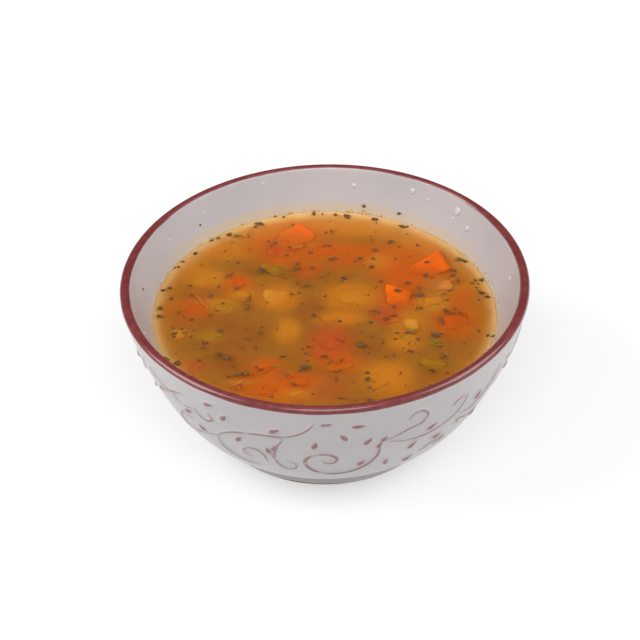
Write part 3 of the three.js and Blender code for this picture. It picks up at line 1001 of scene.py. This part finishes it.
SOFT_HERBS = (
    (-36.5, 22.5, 4.3, 1.9, 45), (-43, 10, 2.3, 1.4, 15), (-51, 16, 2.2, 0.9, -15),
    (-50.5, 10.5, 1.6, 1.9, 0), (-11, 27, 4.8, 2.2, 30), (-28.5, 8, 5, 1.1, 70),
    (-12.5, 10.5, 2.6, 1.6, -30), (-7, 16, 2.9, 1.4, 15), (-29, 39, 1.3, 1.9, 0), (49.5, 25, 2.3, 1.3, -15),
    (49, 22, 2.6, 1.6, -35), (31.5, 17.5, 2.1, 1.6, -15), (-24, -13, 3.1, 1.9, -25),
    (-43.5, -18, 2.5, 1.6, 15), (-44, -21, 2.3, 1.7, 45), (-38.5, -11, 2.1, 1.6, -15),
    (-40, 1, 2.4, 0.9, -30), (-29, 2.5, 1.8, 1.7, 0), (-22, 6, 3, 0.7, -45), (12.5, -19.5, 3.4, 2.6, -30),
    (22.5, -4.5, 2.7, 2.4, 0), (6, -28.5, 2.8, 1.1, 15), (42.5, -5, 2.5, 1.8, 30),
    (38.5, -34.5, 3.2, 1.1, -25), (15, -50, 3.4, 1, -25), (10.5, -50.5, 2.7, 0.8, 55),
    (26.5, -13, 2.4, 0.8, -25), (-1.5, 2.5, 3.2, 0.7, -45),
)
GREEN_HERBS = (
    (-41.5, 46.5, 1.8, 1.6, 0), (-34, 48, 3.9, 1.4, 5), (-27, 54, 2.4, 2, 0), (51.5, 31.8, 2.6, 2.3, -35),
    (32, -12, 3.6, 1.6, -25), (1.5, -30, 2.5, 1.7, 35), (61.3, -15.5, 2, 1, 35),
    (40.5, -18.5, 2.6, 1.9, -20), (42, -20.5, 3, 1.4, -15), (-16.5, -32, 2.2, 1.1, -70),
    (-18, -32.5, 1.9, 1, 50), (12, 31, 1.3, 1, 0), (-57, -27.5, 2.6, 1.6, -40), (28, -16, 1.8, 1.2, -30),
)


def fleck(rng, x, y, length, width, turn, level, tilt=FLECK_TILT):
    """A flat scrap of leaf with a torn outline: two rings of points and a middle above and below."""
    corners = rng.randint(*FLECK_CORNERS)
    angles = [(i + rng.uniform(-0.4, 0.4)) * 2 * math.pi / corners for i in range(corners)]
    reach = [rng.uniform(*FLECK_TEAR) for _ in range(corners)]
    half_length = length / 2
    half_width = width / 2 * FLECK_BREADTH
    outline = [(math.cos(a) * r * half_length, math.sin(a) * r * half_width) for a, r in zip(angles, reach)]
    outline = np.array(outline)
    half = FLECK_THICKNESS / 2
    curl = rng.uniform(-FLECK_CURL, FLECK_CURL) * outline[:, 0] ** 2 / length
    rims = [np.column_stack([outline * scale, side + curl]) for scale, side in ((0.94, half), (1.0, -half))]
    points = np.vstack([*rims, (0, 0, half * 1.6), (0, 0, -half * 1.6)])
    top, bottom = 2 * corners, 2 * corners + 1
    faces = []
    for i in range(corners):
        j = (i + 1) % corners
        faces += [(i, j, top), (corners + i, corners + j, j, i), (corners + j, corners + i, bottom)]
    points = lean(points, rng.uniform(-tilt, tilt), rng.uniform(-tilt, tilt), turn)
    return points + (x, y, level), faces


def surface_level(x, y):
    """Height of the soup's skin, with its curl at the wall."""
    to_wall = max(0.0, WATERLINE_RADIUS + INTO_WALL - math.hypot(x, y))
    return SOUP_LEVEL + MENISCUS_RISE * math.exp(-to_wall / MENISCUS_REACH)


def herb_material(name, light, dark):
    material, tree, shader = new_material(name)
    colour = mix(tree, ramp(tree, spots(tree, 1.1, 3), 0.3, 0.7), dark, light)
    colour = mix(tree, times(tree, spots(tree, 9, 1), 0.3), colour, linear(120, 84, 40))
    crinkle = bump(tree, spots(tree, 0.5, 2), 0.08, 0.7)
    connect(tree, shader, Base_Color=colour, Roughness=0.5, Normal=crinkle, Specular_IOR_Level=0.15)
    return material


def floating_herb(rng, x, y, length, width, turn):
    """A dark fleck on the surface, and the second lobe of a long one."""
    sink = FLECK_SINK if math.hypot(x, y) < FLOATING_RADIUS else 0.0
    level = surface_level(x, y) - sink
    flecks = [fleck(rng, x, y, length, width, turn, level)]
    if length > LOBED_LENGTH:
        long, wide, away = LOBE
        side = math.radians(turn + rng.uniform(-50, 50))
        middle = (x + away * length * math.cos(side), y + away * length * math.sin(side))
        shape = (long * length, wide * width, turn + rng.uniform(-60, 60))
        flecks.append(fleck(rng, *middle, *shape, level))
    return flecks


def scatter_herb(rng, floating, sunk):
    """Puts a small fleck at a random place into one of the two lists."""
    radius = SCATTER_RADIUS * math.sqrt(rng.random())
    angle = rng.uniform(0, 2 * math.pi)
    x, y = radius * math.sin(angle), radius * math.cos(angle)
    length = rng.choice(SCATTERED_LENGTHS)
    shape = (length, length * rng.uniform(*SCATTERED_WIDTHS), rng.uniform(0, 180))
    if rng.random() < 0.5:
        floating.append(fleck(rng, x, y, *shape, surface_level(x, y)))
    else:
        level = SOUP_LEVEL - rng.uniform(*SCATTERED_DEPTHS)
        sunk.append(fleck(rng, x, y, *shape, level, SCATTERED_TILT))


def make_herbs():
    rng = random.Random(SEED + 1)
    dark, soft, green = [], [], []
    for herb in DARK_HERBS:
        dark += floating_herb(rng, *herb)
    for herb in SOFT_HERBS:
        soft.append(fleck(rng, *herb, SOUP_LEVEL - rng.uniform(*SOFT_DEPTHS), SOFT_TILT))
    for herb in GREEN_HERBS:
        green.append(fleck(rng, *herb, surface_level(*herb[:2])))
    for _ in range(SCATTERED_HERBS):
        scatter_herb(rng, dark, soft)
    for name, parts, light, shade in (
        ("dark_herb_flecks", dark, linear(102, 70, 42), linear(64, 42, 26)),
        ("sunk_herb_flecks", soft, linear(100, 64, 32), linear(78, 46, 22)),
        ("green_herb_flecks", green, linear(124, 108, 34), linear(84, 70, 20)),
    ):
        points, faces = joined(parts)
        settle(to_object(name, points, faces, herb_material(name, light, shade)), "pod")


# Drops on the inside of the wall: angle, height, half width
WALL_DROPS = (
    (170, 57.8, 0.8), (150, 59.8, 1.0), (144, 58.6, 0.55), (132, 59.4, 1.45), (133, 56.4, 0.6),
    (126, 56.1, 1.05), (-160, 60.5, 0.5), (-137, 57.7, 0.5), (-120, 56.3, 0.5), (-144, 53.4, 0.4),
    (95, 57.5, 0.9), (60, 58.5, 0.7), (-70, 57, 0.8), (20, 57.5, 0.8), (-25, 59, 0.6),
)
# Flecks there: angle, height, length, width, turn
WALL_HERBS = (
    (166, 50.9, 2, 1.3, 0), (153, 50.7, 2.2, 1.2, 10), (-134, 54.2, 0.9, 0.8, 0), (-94, 54.9, 1.1, 0.9, 40),
)
# Where the fat gathers, in turn: first and last angle
FAT_ARCS = ((150, 190), (100, 150), (60, 110), (-130, -80), (160, 175), (-200, -120))


def dome(radius, flatness, segments=16, rings=6):
    """A flattened half ball, closed underneath."""
    foot = -DROP_FOOT * radius
    outline = [(0, foot), (radius, foot)]
    for i in range(rings):
        turn = i / rings * math.pi / 2
        outline.append((radius * math.cos(turn), radius * flatness * math.sin(turn)))
    return turned(even([*outline, (0, radius * flatness)], segments))[:2]


def on_wall(points, angle, level):
    """Puts a shape that lies in its own XY plane flat on the inside of the wall above the soup."""
    wall_lean = math.atan2(WATERLINE_RADIUS - INNER_LOW[0], SOUP_LEVEL - INNER_LOW[1])
    points = points @ np.array(Matrix.Rotation(math.pi / 2 - wall_lean, 3, "X")).T
    slant = RIM_SLANT * math.sin(math.radians(angle)) * RIM_RADIUS
    rise = slant * ((level - SOUP_LEVEL) / (BOWL_HEIGHT - SOUP_LEVEL)) ** 2
    points = points + (0, float(inner_radius(level)), level + rise)
    return points @ np.array(Matrix.Rotation(math.radians(angle - 180), 3, "Z")).T


def water_and_sheen_material():
    material, tree, shader = new_material("water_drops")
    # The drops are painted paler than the glaze: a painted sheen for the light on clear water
    colour = mix(tree, spots(tree, 3), GLAZE, linear(196, 190, 190))
    connect(tree, shader, Base_Color=colour, Roughness=0.03, IOR=WATER_IOR)
    return material


def make_wall_drops():
    parts = []
    for angle, level, radius in WALL_DROPS:
        points, faces = dome(radius, WATER_FLATNESS)
        points[:, 1] *= WATER_RUN
        parts.append((on_wall(points, angle, level), faces))
    settle(to_object("wall_water_drops", *joined(parts), water_and_sheen_material()), "glazed_stoneware")


def make_wall_herbs():
    rng = random.Random(SEED + 2)
    parts = []
    for angle, level, length, width, turn in WALL_HERBS:
        points, faces = fleck(rng, 0, 0, length, width, turn, 0.1, 3)
        parts.append((on_wall(points, angle, level), faces))
    material = herb_material("wall_herb", linear(110, 96, 34), linear(60, 48, 22))
    settle(to_object("wall_herb_flecks", *joined(parts), material), "pod")


def make_fat():
    """Small drops of orange fat along the waterline, some drawn out into streaks."""
    rng = random.Random(SEED + 3)
    parts = []
    for i in range(FAT_DROPS):
        first, last = FAT_ARCS[i % len(FAT_ARCS)]
        angle = rng.uniform(first, last)
        points, faces = dome(rng.choice(FAT_RADII), FAT_FLATNESS, 10, 3)
        points[:, 0] *= rng.choice(FAT_STREAKS)
        level = SOUP_LEVEL + FAT_LOWEST + rng.random() ** 4 * FAT_SPREAD
        parts.append((on_wall(points, angle, level), faces))
    material, tree, shader = new_material("fat_drops")
    colour = mix(tree, spots(tree, 4), linear(190, 138, 62), linear(176, 108, 40))
    connect(tree, shader, Base_Color=colour, Roughness=0.25, Specular_IOR_Level=0.3)
    settle(to_object("waterline_fat_drops", *joined(parts), material), "broth")


# ---- stage

def make_floor():
    """A pale glowing table, which leaves hardly any shadow."""
    material, tree, shader = new_material("studio_floor")
    colour = mix(tree, spots(tree, 400, 1), *((tone, tone, tone, 1) for tone in FLOOR_TONES))
    connect(tree, shader, Base_Color=colour, Roughness=0.9, Specular_IOR_Level=0.0)
    connect(tree, shader, Emission_Color=WHITE, Emission_Strength=FLOOR_GLOW)
    corners = [(x * FLOOR_HALF_SIDE, y * FLOOR_HALF_SIDE, 0.0) for x, y in CORNERS]
    to_object("studio_floor", corners, [(0, 1, 2, 3)], material, smooth=False)


def make_world():
    """White to the camera, dim to all else, and dimmest behind the bowl, where the soup mirrors it."""
    world = bpy.data.worlds.new("studio")
    bpy.context.scene.world = world
    world.use_nodes = True
    tree = world.node_tree
    tree.nodes.clear()
    seen = add(tree, "ShaderNodeBackground", {"Color": WHITE, "Strength": 1.0}).outputs[0]
    strength = ramp(tree, coordinate(tree, "Y"), 0.1, 0.65, WORLD_FRONT, WORLD_BACK)
    lit = add(tree, "ShaderNodeBackground", {"Color": WHITE, "Strength": strength}).outputs[0]
    camera = add(tree, "ShaderNodeLightPath").outputs["Is Camera Ray"]
    both = add(tree, "ShaderNodeMixShader", {0: camera, 1: lit, 2: seen}).outputs[0]
    add(tree, "ShaderNodeOutputWorld", {"Surface": both})


def make_lights():
    sun = bpy.data.lights.new("soft_sun", "SUN")
    sun.energy = SUN_STRENGTH
    sun.angle = SUN_SPREAD
    lamp = new_object("soft_sun", sun)
    lamp.rotation_euler = Euler((math.pi / 2 - SUN_HEIGHT, 0, 0))
    for name, at, aim, width, tall, watts in BOXES:
        light = bpy.data.lights.new(name, "AREA")
        light.shape = "RECTANGLE"
        light.size = width * MM
        light.size_y = tall * MM
        light.energy = watts
        lamp = new_object(name, light)
        lamp.location = Vector(at) * MM
        lamp.rotation_euler = (Vector(aim) - Vector(at)).to_track_quat("-Z", "Y").to_euler()


def make_camera():
    data = bpy.data.cameras.new("camera")
    data.sensor_width = SENSOR_WIDTH
    data.lens = CAMERA_LENS
    camera = new_object("camera", data)
    sight = (Vector(CAMERA_AIM) - Vector(CAMERA_PLACE)).to_track_quat("-Z", "Y").to_matrix()
    turned_sight = sight @ Matrix.Rotation(-CAMERA_ROLL, 3, "Z")
    camera.matrix_world = Matrix.Translation(Vector(CAMERA_PLACE) * MM) @ turned_sight.to_4x4()
    bpy.context.scene.camera = camera


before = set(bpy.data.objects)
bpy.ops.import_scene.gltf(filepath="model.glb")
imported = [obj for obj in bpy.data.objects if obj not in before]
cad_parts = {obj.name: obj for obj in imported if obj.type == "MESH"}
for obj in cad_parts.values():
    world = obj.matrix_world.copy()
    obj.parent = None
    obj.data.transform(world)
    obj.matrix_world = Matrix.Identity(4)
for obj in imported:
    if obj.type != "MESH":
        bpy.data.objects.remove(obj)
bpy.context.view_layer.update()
noise.seed_set(SEED)
bpy.context.scene.view_settings.view_transform = "Standard"
FLESH = {kind: vegetable_material(kind) for kind in VEGETABLES}

make_camera()
make_world()
make_lights()
make_floor()
make_bowl()
make_broth()
make_core()
make_cut_pieces()
make_pod()
make_sunk_pieces()
make_herbs()
make_wall_drops()
make_wall_herbs()
make_fat()
